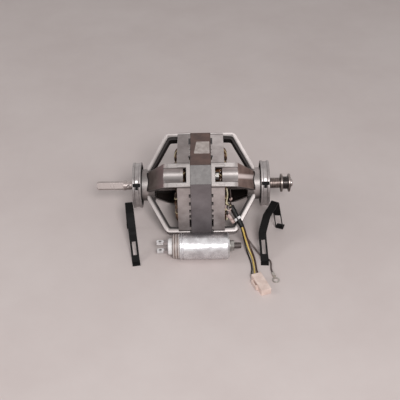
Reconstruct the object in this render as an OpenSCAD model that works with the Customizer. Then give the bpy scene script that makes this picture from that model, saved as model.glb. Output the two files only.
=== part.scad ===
// Tumble dryer fan motor with its run capacitor, two hold-down straps and lead harness.
// The motor stands on the trimmed lower edges of its end shields' arms. X runs along the shaft,
// fan end at -X and pulley end at +X, and Y points to the back.

/* [Stator stack] */
// Width and height of the square lamination stack
core_w = 118; // [112:1:124]
// Length of the stack along the shaft
core_len = 28; // [26:1:34]
// Leg of the 45 degree corner chamfers
core_chamfer = 18.5; // [16:0.5:21]
// Bore of the stack
bore_d = 62; // [60:0.5:63]
// Number of slots round the bore
slot_count = 24; // [18:6:30]
// Width of a slot
slot_w = 4; // [3:0.25:4.5]
// Depth of a slot from the bore
slot_depth = 16; // [12:0.5:18]
// Width of the slot opening at the bore
slot_mouth = 2; // [1.5:0.25:2.5]
// Thickness of the slot wedges and liners
liner_t = 0.5; // [0.3:0.1:0.7]

/* [End windings] */
// Clearance between the end winding and the bore and skirt beside it
coil_clear = 2.4; // [2:0.1:3]
// Share of the packed core in the end winding's thickness
coil_share = 0.33; // [0.28:0.01:0.38]
// Number of loops in one end winding
coil_loops = 24; // [20:1:24]

/* [End shields] */
// Length of the skirt from the stack face
skirt_len = 17.5; // [15:0.5:20]
// Wall of the skirt
skirt_wall = 3; // [2:0.25:3.5]
// Height of the skirt above the flats of the stack
skirt_proud = 0.4; // [0.2:0.1:0.8]
// Height of the arms' trimmed edges above the flats of the stack
trim_proud = 1.3; // [0.9:0.1:1.8]
// Width of an arm at the stack
arm_w = 32; // [28:1:35]
// Width of an arm at the hub
arm_w_hub = 25; // [21:1:27]
// Thickness of an arm's side rails
arm_t = 5.5; // [4.5:0.25:7]
// Height of an arm's outer face above the stack's chamfer
arm_proud = 0.2; // [0:0.1:1]
// Depth of the bulge under an arm's trough
belly_t = 3; // [2.5:0.25:4]
// Width of that bulge
belly_w = 23; // [20:1:26]
// Distance of the arm's bend from the stack face
bend_u = 34; // [32:0.5:38]
// Width of the trough in an arm
trough_w = 20.5; // [17:0.5:22]
// Depth of the trough in an arm
trough_d = 6.5; // [5:0.25:7]
// Width of the shallow hollow down an arm's slope
hollow_w = 20; // [16:0.5:22]
// Depth of that hollow
hollow_d = 1.2; // [0.8:0.1:1.8]
// Wall between the stack face and the trough
arm_end_wall = 5; // [4:0.25:6]
// Diameter of the boss round each bolt hole
boss_d = 12.5; // [12:0.25:13.5]
// Hub diameter
hub_d = 44; // [40:1:46]
// Start of the hub, from the stack face
hub_in = 50; // [48:0.5:52]
// End of the hub, from the stack face
hub_out = 67.5; // [66:0.5:70]
// Width of the plain land on the hub, outside the arms
hub_land = 7.2; // [6:0.1:9]
// Diameter of the nose that carries the mounting ring
nose_d = 30; // [28:0.5:34]

/* [Through bolts] */
// Thread diameter of the through bolts
bolt_d = 5; // [4:0.5:5.5]
// Depth of the bolts under the chamfers of the stack
bolt_in = 8.9; // [8:0.1:10]
// Hexagon of the bolt heads, across flats
bolt_af = 9; // [8:0.5:10]
// Height of the bolt heads
bolt_head_h = 4; // [3:0.5:4.5]
// Thickness of the washers under the heads
washer_t = 1; // [0.8:0.1:1.5]

/* [Bearings and rings] */
// Outer diameter of the mounting rings
ring_d = 63.5; // [62:0.5:66]
// Width of the mounting rings
ring_w = 12; // [11:0.5:14]
// Height of the two lips on a mounting ring
ring_lip = 1.2; // [0.8:0.1:1.8]
// Thickness of the ring's steel band under the lips
band_t = 2.2; // [1.8:0.1:3]
// Gap between the hub and the mounting ring
ring_gap = 0.5; // [0.25:0.25:2]
// Angle of the key notch above the horizontal, towards the front
notch_angle = 34; // [0:1:60]
// Width of the key notch's bar round the ring
notch_w = 4.9; // [4:0.1:5.5]
// Wall left at each end of that bar
notch_wall = 0.8; // [0.6:0.1:2]
// Width of the key notch's stem along the shaft
stem_w = 3.8; // [3:0.1:4.5]
// Length of that stem round the ring
stem_len = 4.1; // [3:0.1:5]
// Outer diameter of the bearing bushes
bush_d = 20; // [18:0.5:21]
// Length of the bearing bushes
bush_len = 22; // [18:0.5:24]
// Outer diameter of the felt oil rings
felt_d = 32; // [28:0.5:34]
// Length of the felt oil rings
felt_len = 1.8; // [1.5:0.1:1.8]

/* [Shaft and rotor] */
// Diameter of the flatted fan end of the shaft
shaft_d = 12; // [11.5:0.1:12.2]
// Diameter of the shaft in its bearings
journal_d = 12.4; // [12.3:0.1:13]
// Diameter of the shaft under the pulley
pulley_seat_d = 11; // [10:0.1:11.4]
// Diameter of the shaft inside the rotor
rotor_seat_d = 16; // [14:0.5:18]
// Reach of the fan shaft beyond the fan side ring
fan_reach = 51.5; // [45:0.5:57]
// Length of the flatted part of the fan shaft
flat_len = 37; // [30:1:38]
// Depth of the flat
flat_depth = 1.5; // [1.2:0.1:1.6]
// Chamfer at the shaft ends
shaft_chamfer = 1.5; // [1:0.25:2]
// Radial running gap between rotor and stack
air_gap = 0.5; // [0.4:0.05:0.8]
// Length of the rotor's end rings with their blades
cage_len = 16; // [14:0.5:18]
// Thickness of the end rings
cage_ring_t = 6; // [5:0.5:7]
// Number of blades on each end ring
blade_count = 10; // [8:1:12]

/* [Pulley] */
// Flange diameter of the pulley
pulley_d = 25.5; // [23:0.5:28]
// Groove diameter of the pulley
groove_d = 17.5; // [16.5:0.25:20]
// Width of the pulley
pulley_w = 13.5; // [12:0.5:15]
// Thickness of a flange
flange_t = 3; // [2:0.25:3.5]
// Diameter of the spacer bushing
spacer_d = 14.5; // [13.5:0.25:16]
// Length of the spacer bushing
spacer_len = 16.5; // [14:0.5:18]
// Reach of the shaft beyond the pulley
stub_len = 3.5; // [3:0.25:5]
// Thickness of the circlip
clip_t = 1; // [0.8:0.1:1.2]

/* [Capacitor] */
// Diameter of the capacitor can
can_d = 35.5; // [33:0.5:40]
// Length of the can
can_len = 67.5; // [60:0.5:80]
// Distance of the can's axis in front of the shaft
can_front = 84.5; // [83:0.5:90]
// Length of the lid's collar and its insulating cap together
lid_len = 15; // [13:0.5:17]
// Length of the lid's collar
collar_len = 9; // [7:0.5:10]
// Step from the can's side in to the collar
collar_step = 1.2; // [0.8:0.1:2]
// Diameter of the insulating cap
cap_d = 22; // [21.5:0.5:26]
// Length of the blade terminals
blade_len = 21.3; // [18:0.1:24]
// Diameter of the mounting stud
stud_d = 8; // [6:0.5:10]
// Length of the mounting stud
stud_len = 16; // [14:0.5:18]

/* [Straps] */
// Width of the straps
strap_w = 10.5; // [9:0.5:13]
// Thickness of the strap steel
strap_t = 2; // [1.5:0.1:2.5]
// Height of the straps as they stand
strap_h = 49; // [46:0.5:52]
// Length of the straps on the floor
strap_span = 92; // [88:0.5:96]
// Width of the slots in the straps
strap_slot_w = 5; // [4:0.25:5.5]
// Sideways bend of the pulley side strap
strap_sweep = 14; // [10:0.5:16]

/* [Leads] */
// Diameter of one lead
lead_d = 2.3; // [2:0.1:2.5]
// Diameter of the black lead sleeve
sleeve_d = 6.6; // [6:0.1:7]
// Length of the connector housing
plug_len = 35; // [33:1:40]
// Width of the connector housing
plug_w = 13.5; // [13:0.5:15]
// Height of the connector housing
plug_h = 9; // [8:0.5:11]

/* [Hidden] */
$fn = 64;

// Clearances
fit = 0.05;
seat = 0.3;

// Heights and ends, worked out from the sizes above
shield_w = core_w + 2 * trim_proud;
axis_h = shield_w / 2;
face = core_len / 2;
chamfer_r = (core_w - core_chamfer) / sqrt(2);
bolt_r = chamfer_r - bolt_in;
arm_r = chamfer_r + arm_proud;
hub_r = hub_d / 2;
ring_in = hub_out + ring_gap;
ring_out = ring_in + ring_w;
fan_end = face + ring_out + fan_reach;
pulley_in = face + ring_out + spacer_len;
pulley_end = pulley_in + pulley_w + stub_len;
strap_front = 106.37;
toe_corner = 0.37;
fan_strap_back = 3;
motor_x = (fan_end - pulley_end) / 2;
motor_y = (strap_front - shield_w / 2) / 2;
rotor_r = bore_d / 2 - air_gap;
bush_in = ring_out - bush_len;
felt_in = bush_in - 2;
cap_t = 1.5;
cap_in = felt_in - cap_t;

module stand() {
    translate([motor_x, motor_y, axis_h]) children();
}

// Puts a piece drawn for the pulley end on either end of the stack
module at_end(side) {
    stand() {
        if (side > 0) translate([face, 0, 0]) children();
        else mirror([1, 0, 0]) translate([face, 0, 0]) children();
    }
}

module disc(from, to, d) {
    translate([from, 0, 0]) rotate([0, 90, 0]) cylinder(h = to - from, d = d);
}

module tube(from, to, d, bore) {
    difference() {
        disc(from, to, d);
        disc(from - 1, to + 1, bore);
    }
}

// Stator stack

module chamfered_square(w, leg) {
    h = w / 2;
    k = h - leg;
    polygon([[k, h], [-k, h], [-h, k], [-h, -k], [-k, -h], [k, -h], [h, -k], [h, k]]);
}

module along_x(from, length) {
    translate([from, 0, 0]) rotate([90, 0, 90]) linear_extrude(length) children();
}

module round_slots(from, length) {
    for (i = [0 : slot_count - 1])
        rotate([(i + 0.5) * 360 / slot_count, 0, 0]) along_x(from, length) children();
}

slot_base = bore_d / 2 + 1.6;
slot_top = bore_d / 2 + slot_depth;

module slot_shape() {
    translate([slot_base, -slot_w / 2]) square([slot_top - slot_base, slot_w]);
    translate([bore_d / 2 - 2, -slot_mouth / 2]) square([4, slot_mouth]);
}

module stator_core() {
    color("dimgray") stand() difference() {
        along_x(-face, core_len) chamfered_square(core_w, core_chamfer);
        disc(-face - 1, face + 1, bore_d);
        round_slots(-face - 1, core_len + 2) slot_shape();
        for (a = [45 : 90 : 315])
            rotate([a, 0, 0]) translate([0, 0, bolt_r]) disc(-face - 1, face + 1, bolt_d + 4 * fit);
    }
}

liner_out = 1.5;

module slot_liners() {
    inner_w = slot_w - 2 * fit - 2 * liner_t;
    color("wheat") stand() round_slots(-face - liner_out, core_len + 2 * liner_out) difference() {
        translate([slot_base + fit, -slot_w / 2 + fit]) square([slot_top - slot_base - 2 * fit,
            slot_w - 2 * fit]);
        translate([slot_base, -inner_w / 2]) square([slot_top - slot_base - fit - liner_t, inner_w]);
    }
}

wedge_t = 1.2;

module slot_conductors() {
    wire_w = slot_w - 2 * liner_t - 4 * fit;
    from = slot_base + wedge_t + 3 * fit;
    color("peru") stand() round_slots(-face - liner_out, core_len + 2 * liner_out)
        translate([from, -wire_w / 2]) square([slot_top - liner_t - 2 * fit - from, wire_w]);
}

module slot_wedges() {
    wire_w = slot_w - 2 * liner_t - 4 * fit;
    color("tan") stand() round_slots(-face - liner_out, core_len + 2 * liner_out)
        translate([slot_base + fit, -wire_w / 2]) square([wedge_t, wire_w]);
}

// End windings: packed core with one unbroken bundle wound round it

coil_room_out = core_w / 2 + skirt_proud - skirt_wall;
coil_r = (bore_d / 2 + coil_room_out) / 2;
coil_size = (coil_room_out - bore_d / 2) / 2 - coil_clear;
coil_heart = coil_share * coil_size;
coil_bundle = coil_size - coil_heart - seat;
coil_mid = coil_size + liner_out + seat;
bundle_path_r = coil_heart + seat + coil_bundle / 2;
coil_rings = 12;
coil_sides = 6;

function coil_point(t) = let (a = 352 * t, b = 360 * coil_loops * t, r = coil_r - bundle_path_r * cos(b))
    [coil_mid + bundle_path_r * sin(b), r * cos(a), r * sin(a)];

coil_path = [for (i = [0 : coil_loops * coil_rings]) coil_point(i / (coil_loops * coil_rings))];

function unit(v) = v / norm(v);

// Skin of a tube along a path: rings of points square to the path
function path_dir(path, i) = unit(path[min(i + 1, len(path) - 1)] - path[max(i - 1, 0)]);

function tube_points(path, r, sides, side) = [for (i = [0 : len(path) - 1])
    let (d = path_dir(path, i), u = unit(side[i] - d * (side[i] * d)), v = cross(d, u))
    for (k = [0 : sides - 1]) path[i] + r * (u * cos(k * 360 / sides) + v * sin(k * 360 / sides))];

function tube_faces(rings, sides) = concat(
    [[for (k = [0 : sides - 1]) k]],
    [for (i = [0 : rings - 2], k = [0 : sides - 1]) let (n = (k + 1) % sides)
        [i * sides + k, (i + 1) * sides + k, (i + 1) * sides + n]],
    [for (i = [0 : rings - 2], k = [0 : sides - 1]) let (n = (k + 1) % sides)
        [i * sides + k, (i + 1) * sides + n, i * sides + n]],
    [[for (k = [sides - 1 : -1 : 0]) (rings - 1) * sides + k]]);

module swept_tube(path, r, sides, side) {
    polyhedron(tube_points(path, r, sides, side), tube_faces(len(path), sides), convexity = 10);
}

// A ring's starting side points away from the packed core
coil_side = [for (p = coil_path) let (a = atan2(p[2], p[1])) p - [coil_mid, coil_r * cos(a),
    coil_r * sin(a)]];

coil_self_gap = min([for (i = [0 : coil_rings - 1], j = [i + 6 : i + 2 * coil_rings])
    norm(coil_path[i + 40] - coil_path[j + 40])]) - coil_bundle;
echo(end_winding_gap_to_itself = coil_self_gap);

module end_winding(side) {
    color("saddlebrown") at_end(side) swept_tube(coil_path, coil_bundle / 2, coil_sides, coil_side);
}

module coil_core(side) {
    color("peru") at_end(side) translate([coil_mid, 0, 0]) rotate([0, 90, 0])
        rotate_extrude() translate([coil_r, 0]) circle(r = coil_heart, $fn = 24);
}

module end_winding_fan() { end_winding(-1); }
module end_winding_pulley() { end_winding(1); }
module coil_heart_fan() { coil_core(-1); }
module coil_heart_pulley() { coil_core(1); }

// End shields

// Round stretch of points between two straight runs that meet at p1
function corner(p0, p1, p2, r, steps) = let (
    v0 = unit(p0 - p1),
    v2 = unit(p2 - p1),
    half = acos(v0 * v2) / 2,
    c = p1 + unit(v0 + v2) * r / sin(half),
    s = p1 + v0 * r / tan(half) - c,
    e = p1 + v2 * r / tan(half) - c,
    turn = s[0] * e[1] - s[1] * e[0] > 0 ? acos(s * e / (r * r)) : -acos(s * e / (r * r)))
    [for (i = [0 : steps]) let (a = turn * i / steps) c + [s[0] * cos(a) - s[1] * sin(a),
        s[0] * sin(a) + s[1] * cos(a)]];

bend_round = 9;
arm_tilt = 1.2;
arm_start = [0, arm_r];
arm_bend = [bend_u, arm_r - arm_tilt];
arm_foot = [hub_out - hub_land, hub_r];
slope_dir = unit(arm_foot - arm_bend);
slope_in = [-slope_dir[1], slope_dir[0]] * -1;
flat_dir = unit(arm_bend - arm_start);

// Distance along the flat run at which an inner face, set in by t, meets its bend
function inner_bend(t) = let (half = acos(-flat_dir * slope_dir) / 2)
    arm_bend + unit(slope_dir - flat_dir) * t / sin(half);

function arm_outline(t) = let (
    foot = arm_foot + [slope_dir[1], -slope_dir[0]] * t,
    deep = foot + slope_dir * 4)
    concat([arm_start], corner(arm_start, arm_bend, arm_foot, bend_round, 4), [arm_foot,
        arm_foot + slope_dir * 4, deep],
        corner(deep, inner_bend(t), arm_start - [0, t], bend_round - 5, 3), [arm_start - [0, t]]);

module arm_slab(t, w) {
    rotate([90, 0, 0]) linear_extrude(w, center = true) polygon(arm_outline(t));
}

// Plan of an arm, seen along its radius: full width to the bend, then narrowing to the hub
module arm_plan() {
    half = arm_w / 2;
    hub_half = arm_w_hub / 2;
    linear_extrude(arm_r + 10) polygon([[0, -half], [bend_u, -half], [arm_foot[0], -hub_half],
        [arm_foot[0], hub_half], [bend_u, half], [0, half]]);
}

// Radius of a round hollow of the given width and depth
function hollow_r(w, d) = (w * w / 4 + d * d) / (2 * d);

trough_r = hollow_r(trough_w, trough_d);
slope_r = hollow_r(hollow_w, hollow_d);
slope_angle = atan2(-slope_dir[1], slope_dir[0]);
window_side = 1;
window_reach = 8;

// Trough along the flat run, from the end wall out through the bend
module flat_trough() {
    translate([arm_end_wall, 0, arm_r - trough_d + trough_r]) rotate([0, 90, 0])
        cylinder(h = bend_u - arm_end_wall + trough_d, r = trough_r);
}

module slope_hollow() {
    over = 4;
    translate([arm_bend[0], 0, arm_bend[1]]) rotate([0, slope_angle, 0])
        translate([-over, 0, slope_r - hollow_d]) rotate([0, 90, 0])
            cylinder(h = norm(arm_foot - arm_bend) + 3 * over, r = slope_r);
}

// Window in the trough floor beside the end wall, where the bolt sits
module bolt_window(length) {
    deep = arm_t + belly_t + window_reach;
    translate([arm_end_wall, window_side - trough_w / 2, arm_r - deep])
        cube([length, trough_w - 2 * window_side, deep + 2]);
}

module arm() {
    difference() {
        union() {
            intersection() {
                union() {
                    arm_slab(arm_t, arm_w);
                    arm_slab(arm_t + belly_t, belly_w);
                }
                arm_plan();
            }
            translate([0, 0, bolt_r]) disc(0, arm_end_wall, boss_d);
        }
        slope_hollow();
    }
}

notch_deep = 1.4;
notch_reach = 8;
long_notch = 12;
long_notch_at = -29;
dot_notch = 2.6;
dot_notches = [22.5, 9.5, -2.6, -11.5, -36.5];

// Gaps in the skirt's edge against the stack, on one flat
module edge_notches() {
    out = core_w / 2 - skirt_wall - 2;
    for (y = dot_notches) translate([-1, y - dot_notch / 2, out])
        cube([1 + notch_deep, dot_notch, notch_reach]);
    translate([-1, long_notch_at, out]) cube([1 + notch_deep, long_notch, notch_reach]);
}

// The inner chamfer's leg keeps the skirt's wall as thick at the corners as on the flats
module skirt() {
    outer = core_w + 2 * skirt_proud;
    inner = outer - 2 * skirt_wall;
    difference() {
        along_x(0, skirt_len) chamfered_square(outer, core_chamfer + skirt_proud);
        along_x(-1, skirt_len + 2) chamfered_square(inner, core_chamfer - skirt_wall * (2 - sqrt(2)));
        for (a = [0 : 90 : 270]) rotate([a, 0, 0]) edge_notches();
    }
}

hub_wall = 4;

module end_shield(window_len) {
    difference() {
        union() {
            skirt();
            intersection() {
                for (a = [45 : 90 : 315]) rotate([a, 0, 0]) arm();
                along_x(0, hub_out) square(shield_w, center = true);
            }
            disc(hub_in, hub_out, hub_d);
            disc(hub_out - 1, ring_out, nose_d);
        }
        disc(cap_in - 8, bush_in, felt_d);
        disc(bush_in - 1, ring_out + 1, bush_d);
        disc(-10, hub_in, hub_d - 2 * hub_wall);
        for (a = [45 : 90 : 315]) rotate([a, 0, 0]) {
            flat_trough();
            bolt_window(window_len);
            translate([0, 0, bolt_r]) disc(-1, arm_end_wall + 1, bolt_d + 4 * fit);
        }
    }
}

head_window = 9.5;
tail_window = 4.5;

module end_shield_fan() { color("silver") at_end(-1) end_shield(tail_window); }
module end_shield_pulley() { color("silver") at_end(1) end_shield(head_window); }

// Through bolts, from the pulley side arms into the fan side arms

head_at = face + arm_end_wall + washer_t;

module through_bolts() {
    color("lightsteelblue") stand() for (a = [45 : 90 : 315]) rotate([a, 0, 0]) translate([0, 0,
        bolt_r]) {
        disc(-face - arm_end_wall, head_at + 1, bolt_d);
        translate([head_at, 0, 0]) rotate([0, 90, 0]) rotate([0, 0, 30])
            cylinder(h = bolt_head_h, d = bolt_af / cos(30), $fn = 6);
    }
}

module bolt_washers() {
    color("gainsboro") stand() for (a = [45 : 90 : 315]) rotate([a, 0, 0]) translate([0, 0, bolt_r])
        tube(head_at - washer_t, head_at, bolt_af + 1.5, bolt_d + 2 * fit);
}

// Mounting rings

module ring_band(side) {
    r = ring_d / 2;
    low = r - ring_lip;
    inner = low - band_t;
    lip_w = 2.6;
    color("darkgray") at_end(side) difference() {
        translate([ring_in, 0, 0]) rotate([0, 90, 0]) rotate_extrude() polygon([[inner, 0], [r - 0.6, 0],
            [r, 0.6], [r, lip_w], [low, lip_w + 1.2], [low, ring_w - lip_w - 1.2], [r, ring_w - lip_w],
            [r, ring_w - 0.6], [r - 0.6, ring_w], [inner, ring_w]]);
        rotate([90 - notch_angle, 0, 0]) translate([ring_in, 0, inner - 1]) {
            translate([notch_wall, -notch_w / 2, 0]) cube([ring_w - 2 * notch_wall, notch_w,
                ring_lip + band_t + 2]);
            translate([(ring_w - stem_w) / 2, -notch_w / 2 - stem_len, 0])
                cube([stem_w, stem_len + 1, ring_lip + band_t + 2]);
        }
    }
}

module ring_rubber(side) {
    outer = ring_d / 2 - ring_lip - band_t - fit;
    inner = nose_d / 2 + fit;
    waist = ring_w * 0.22;
    color("black") at_end(side) translate([ring_in, 0, 0]) rotate([0, 90, 0]) rotate_extrude()
        polygon([[inner, 0], [inner + 2, 0], [inner + 4, waist], [outer - 3, waist], [outer - 1, 0],
            [outer, 0],
            [outer, ring_w], [outer - 1, ring_w], [outer - 3, ring_w - waist], [inner + 4,
                ring_w - waist],
            [inner + 2, ring_w], [inner, ring_w]]);
}

module ring_band_fan() { ring_band(-1); }
module ring_band_pulley() { ring_band(1); }
module ring_rubber_fan() { ring_rubber(-1); }
module ring_rubber_pulley() { ring_rubber(1); }

// Bearings

module bearing_bush(side) {
    color("goldenrod") at_end(side) tube(bush_in, ring_out, bush_d - 2 * fit, journal_d + 2 * fit);
}

module felt_ring(side) {
    color("ivory") at_end(side) tube(felt_in, felt_in + felt_len, felt_d - 2 * fit, journal_d + 2);
}

module bearing_cap(side) {
    color("lightgray") at_end(side) tube(cap_in, felt_in - fit, felt_d - 2 * fit, journal_d + 4);
}

module bearing_bush_fan() { bearing_bush(-1); }
module bearing_bush_pulley() { bearing_bush(1); }
module felt_ring_fan() { felt_ring(-1); }
module felt_ring_pulley() { felt_ring(1); }
module bearing_cap_fan() { bearing_cap(-1); }
module bearing_cap_pulley() { bearing_cap(1); }

// Shaft and rotor

end_play = 0.5;
thrust_t = 2;
shoulder_u = cap_in - end_play - thrust_t;
shoulder_x = face + shoulder_u;
flat_angle = 28;
flat_from = fan_end - flat_len;
collar_w = 4;

cross_hole_d = 3.5;
cross_hole_at = flat_len + collar_w + 3.5;
end_chamfer = 1;

// The revolve starts on its lower side, where the flat is cut, then turns to the flat's angle
module shaft() {
    r = shaft_d / 2;
    journal_r = journal_d / 2;
    core_r = rotor_seat_d / 2;
    end_r = pulley_seat_d / 2;
    color("lightgray") stand() translate([-fan_end, 0, 0]) rotate([270 - flat_angle, 0, 0]) difference() {
        rotate([0, 90, 0]) rotate_extrude() polygon([[0, 0], [r - shaft_chamfer, 0], [r, shaft_chamfer],
            [r, flat_len], [journal_r, flat_len], [journal_r, fan_end - shoulder_x],
            [core_r, fan_end - shoulder_x], [core_r, fan_end + shoulder_x],
            [journal_r, fan_end + shoulder_x], [journal_r, fan_end + face + ring_out],
            [end_r, fan_end + face + ring_out], [end_r, fan_end + pulley_end - end_chamfer],
            [end_r - end_chamfer, fan_end + pulley_end], [0, fan_end + pulley_end]]);
        translate([-1, -r, -r - 1]) cube([flat_len + 1, shaft_d, flat_depth + 1]);
        translate([cross_hole_at, 0, 0]) cylinder(h = shaft_d + 2, d = cross_hole_d, center = true);
    }
}

module rotor_core() {
    color("dimgray") stand() tube(-face, face, 2 * rotor_r, rotor_seat_d + 2 * fit);
}

module rotor_cage(side) {
    blade_r = rotor_r - 2.5;
    color("gainsboro") at_end(side) {
        tube(fit, cage_ring_t, 2 * rotor_r - 1, 2 * rotor_r - 21);
        for (i = [0 : blade_count - 1]) rotate([i * 360 / blade_count, 0, 0])
            translate([cage_ring_t - 0.5, -1.1, blade_r - 9]) cube([cage_len - cage_ring_t + 0.5,
                2.2, 8.5]);
    }
}

module rotor_cage_fan() { rotor_cage(-1); }
module rotor_cage_pulley() { rotor_cage(1); }

module thrust_washer(side) {
    color("darkgoldenrod") at_end(side)
        tube(shoulder_u + fit, shoulder_u + thrust_t, journal_d + 6, journal_d + 2 * fit);
}

module thrust_washer_fan() { thrust_washer(-1); }
module thrust_washer_pulley() { thrust_washer(1); }

module shaft_collar() {
    color("silver") stand() tube(-flat_from, -flat_from + collar_w, journal_d + 1.4, journal_d + 2 * fit);
}

module spacer_bush() {
    color("silver") stand() tube(face + ring_out + seat, pulley_in, spacer_d, pulley_seat_d + 2 * fit);
}

flange_edge = 0.5;
flange_slope = 0.8;

module pulley() {
    r = pulley_d / 2;
    g = groove_d / 2;
    bore = pulley_seat_d / 2 + fit;
    e = flange_edge;
    color("silver") stand() translate([pulley_in, 0, 0]) rotate([0, 90, 0]) rotate_extrude()
        polygon([[bore, 0], [r - e, 0], [r, e], [r, flange_t - e], [g, flange_t + flange_slope],
            [g, pulley_w - flange_t - flange_slope], [r, pulley_w - flange_t + e],
            [r, pulley_w - e], [r - e, pulley_w], [bore, pulley_w]]);
}

module circlip() {
    color("dimgray") stand() difference() {
        tube(pulley_in + pulley_w + fit, pulley_in + pulley_w + fit + clip_t, pulley_seat_d + 4,
            pulley_seat_d + 2 * fit);
        translate([pulley_in + pulley_w - 1, -2, 0]) cube([clip_t + 2, 4, pulley_seat_d]);
    }
}

// Run capacitor, lying on the floor in front of the stack

can_mid = 3.25;
blade_from_axis = 7.2;
can_from = can_mid - can_len / 2;
stud_root = can_from + can_len;
stud_point = 0.8;
shank_d = stud_d + 1;
stud_washer_t = 1.2;
stud_nut_h = 5;
shank_len = stud_washer_t + stud_nut_h + 0.2;

module lay_can() {
    translate([motor_x, motor_y - can_front, can_d / 2]) children();
}

lid_seat = 1.5;
rim_w = 3;
rim_round = 1.5;
groove_deep = 1.2;
base_round = 2.5;

module capacitor_can() {
    r = can_d / 2;
    tip = stud_len - shank_len;
    color("gainsboro") lay_can() {
        translate([can_from, 0, 0]) rotate([0, 90, 0]) rotate_extrude() polygon([[0, lid_seat],
            [r - rim_w, lid_seat], [r - rim_w, 0], [r - rim_round, 0], [r, rim_round], [r, rim_w],
            [r - groove_deep, rim_w + 1], [r - groove_deep, rim_w + 2], [r, rim_w + 3],
            [r, can_len - base_round], [r - base_round, can_len], [0, can_len]]);
        disc(stud_root - 1, stud_root + shank_len, shank_d);
        translate([stud_root + shank_len, 0, 0]) rotate([0, 90, 0]) rotate_extrude()
            polygon([[0, -1], [stud_d / 2, -1], [stud_d / 2, tip - stud_point],
                [stud_d / 2 - stud_point, tip],
                [0, tip]]);
    }
}

collar_from = can_from - collar_len;
cap_from = can_from - lid_len;
blades_from = collar_from - fit - blade_len;
blade_w = 6.3;
blade_pair_t = 3.2;
blade_gap = 1.6;
blade_split = 9;
blade_hole_d = 1.8;
cap_slot_ease = 0.5;

// Brown lid with its collar against the can's rim
module capacitor_lid() {
    r = can_d / 2 - collar_step;
    plug_r = can_d / 2 - rim_w - 1;
    color("saddlebrown") lay_can() translate([collar_from, 0, 0]) rotate([0, 90, 0]) rotate_extrude()
        polygon([[0, 0], [r - rim_round, 0], [r, rim_round], [r, collar_len - fit], [plug_r,
            collar_len - fit],
            [plug_r, collar_len + lid_seat - fit], [0, collar_len + lid_seat - fit]]);
}

module capacitor_cap() {
    r = cap_d / 2;
    cap_h = lid_len - collar_len - fit;
    slot_h = blade_pair_t + 2 * cap_slot_ease;
    slot_l = blade_w + 2 * cap_slot_ease;
    color("whitesmoke") lay_can() difference() {
        translate([cap_from, 0, 0]) rotate([0, 90, 0]) rotate_extrude()
            polygon([[0, 0], [r - 1, 0], [r, 1], [r, cap_h], [0, cap_h]]);
        for (z = [-1, 1]) translate([cap_from - 1, -slot_l / 2, z * blade_from_axis - slot_h / 2])
            cube([lid_len, slot_l, slot_h]);
    }
}

module capacitor_terminals() {
    color("white") lay_can() for (z = [-1, 1]) translate([blades_from, 0, z * blade_from_axis])
        difference() {
        translate([0, -blade_w / 2, -blade_pair_t / 2]) cube([blade_len, blade_w, blade_pair_t]);
        translate([-1, -blade_w, -blade_gap / 2]) cube([blade_split + 1, 2 * blade_w, blade_gap]);
        translate([2.5, 0, -blade_pair_t]) cylinder(h = 2 * blade_pair_t, d = blade_hole_d);
    }
}

module stud_washer() {
    color("silver") lay_can() tube(stud_root + fit, stud_root + stud_washer_t, stud_d * 2,
        shank_d + 2 * fit);
}

module stud_nut() {
    color("silver") lay_can() difference() {
        translate([stud_root + stud_washer_t + fit, 0, 0]) rotate([0, 90, 0])
            cylinder(h = stud_nut_h, d = stud_d * 1.85, $fn = 6);
        disc(stud_root, stud_root + shank_len + 1, shank_d + 2 * fit);
    }
}

// Hold-down straps: one flat strip, bent along its length

strap_k = strap_span / 92;
strap_kz = (strap_h - strap_t / 2) / 48;

// Middle line of the strip from the near toe to the far foot: distance, height and share of the sideways bend
strap_line = [[0, 0, 0], [5, 0, 0.09], [7, 1.2, 0.13], [14, 6.4, 0.34], [22, 12.4, 0.56], [30, 18.2, 0.8],
    [37.6, 23.6, 0.98], [40.4, 27, 0.98], [45, 30.4, 0.97], [50.4, 35.6, 0.94], [55, 40.4, 0.9],
    [60, 44.4, 0.76], [64, 46.4, 0.63], [70, 47.2, 0.58], [77.6, 48, 0.54], [79.9, 47.2, 0.53],
        [80.8, 44.6, 0.5],
    [82.3, 4.4, 0.02], [83.2, 1.2, 0], [85.4, 0, 0], [92, 0, 0]];

function strap_path(sweep) = [for (p = strap_line) [p[0] * strap_k, sweep * p[2],
    max(p[1] * strap_kz, strap_t / 2)]];

// Skin of a flat strip along a path, level across wherever it doesn't stand upright
function strip_points(path, w, t) = [for (i = [0 : len(path) - 1])
    let (d = path_dir(path, i), u = unit(abs(d[0]) > 0.5 ? [-d[1], d[0], 0] : [0, 1, 0] - d * d[1]),
        v = cross(d, u))
    for (c = [[-1, -1], [1, -1], [1, 1], [-1, 1]]) path[i] + u * c[0] * w / 2 + v * c[1] * t / 2];

// Slot through a straight run of the strip, from a share of the run to another
module strap_slot(a, b, from, to) {
    d = unit(b - a);
    translate(a + (b - a) * (from + to) / 2) rotate([0, -asin(d[2]), atan2(d[1], d[0])])
        cube([norm(b - a) * (to - from), strap_slot_w, 8], center = true);
}

module strap(sweep) {
    path = strap_path(sweep);
    difference() {
        polyhedron(strip_points(path, strap_w, strap_t), tube_faces(len(path), 4), convexity = 10);
        strap_slot(path[2], path[6], 0.25, 0.76);
        strap_slot(path[17], path[16], 0.06, 0.5);
    }
}

// Each strap stands on its toe and foot, foot to the back
module place_strap(x, back, yaw) {
    translate([motor_x + x, motor_y - strap_front + toe_corner + back, 0]) rotate([0, 0, yaw]) children();
}

module strap_fan_side() {
    color("#1c1a1a") place_strap(-(face + ring_in + ring_w / 2), fan_strap_back, 99.2) strap(0);
}

module strap_pulley_side() {
    color("#1c1a1a") place_strap(face + ring_in + 1.7, 0, 71.8) strap(strap_sweep);
}

// Leads: routes from the sleeve's mouth, as points on the stand's own floor plan

sleeve_from = [36.8, -47, axis_h - 3.1];
sleeve_to = [50.4, -64, axis_h - 17.3];

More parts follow.
